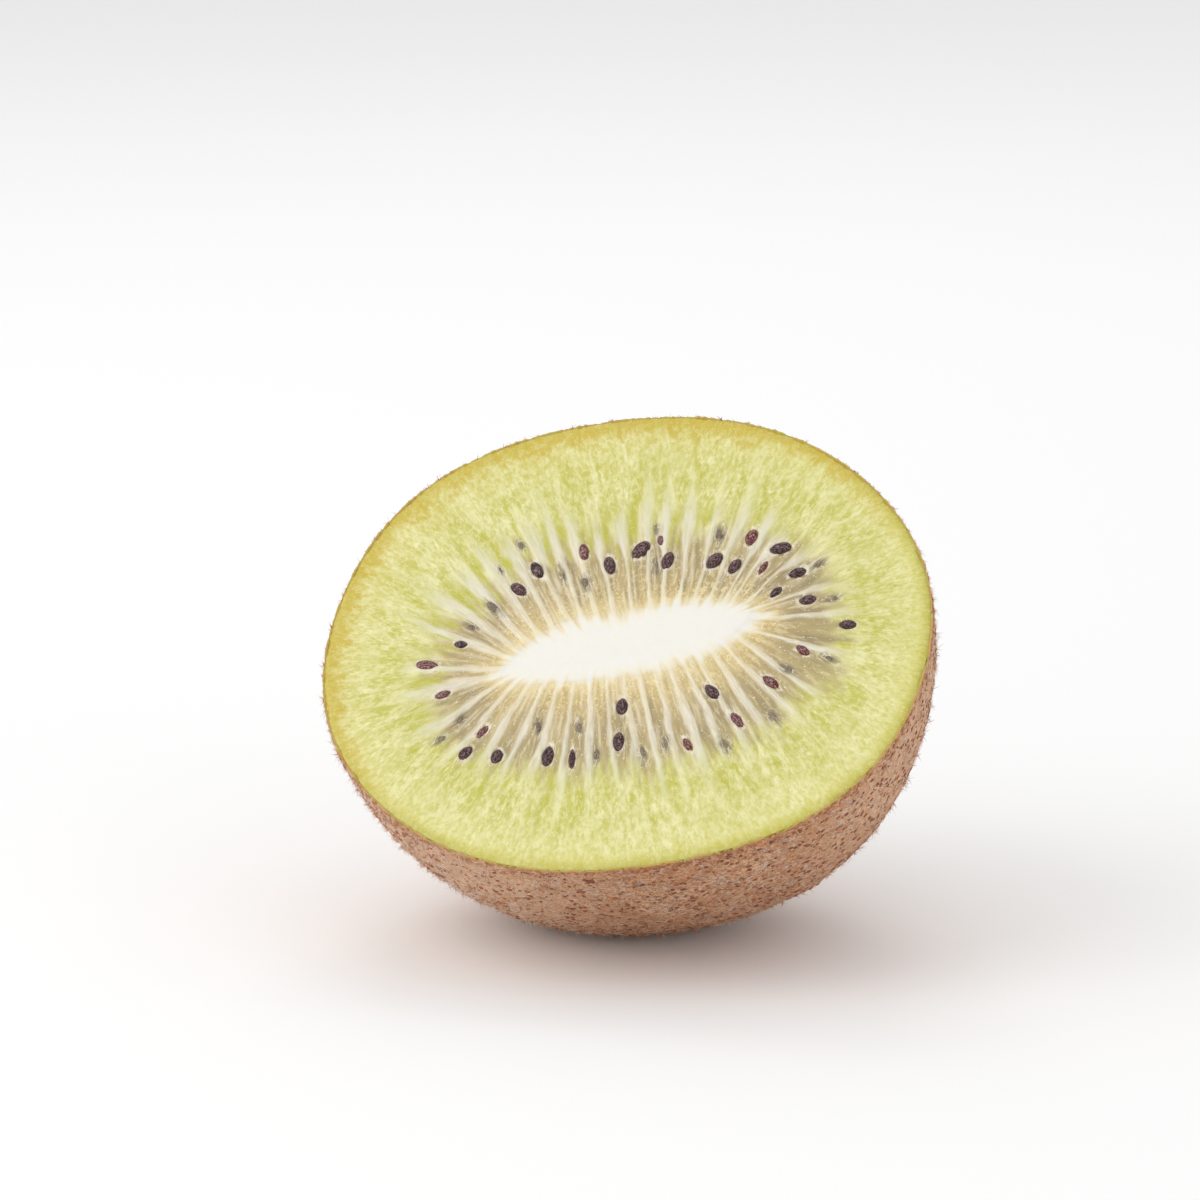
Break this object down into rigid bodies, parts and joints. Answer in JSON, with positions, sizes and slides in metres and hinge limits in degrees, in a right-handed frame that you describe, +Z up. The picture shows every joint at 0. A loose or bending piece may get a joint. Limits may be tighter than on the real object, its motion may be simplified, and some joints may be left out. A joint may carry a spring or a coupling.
{
  "type": "kiwi fruit half",
  "caption": "Half of a ripe kiwi fruit cut across the middle, lying on its fuzzy brown skin with the green cut face, white core and dark seeds leaning back.",
  "frame": {"origin": "middle of the small flat spot that the half rests on", "axes": "+Z up; the cut face leans back 45 degrees from level and looks towards -Y and up; +X is along its longer width, to the right as seen from -Y"},
  "size_m": [0.0552, 0.0459, 0.0456],
  "materials": {
    "flesh": "moist yellow-green fruit flesh, satin",
    "core": "moist creamy white fruit core, satin",
    "skin": "dry brown peel with short matted hairs",
    "seed": "wet glossy dark seed",
    "stem": "dry woody stalk scar"
  },
  "bodies": {
    "root": {"flesh": "flesh", "core": "core"}
  },
  "joints": []
}
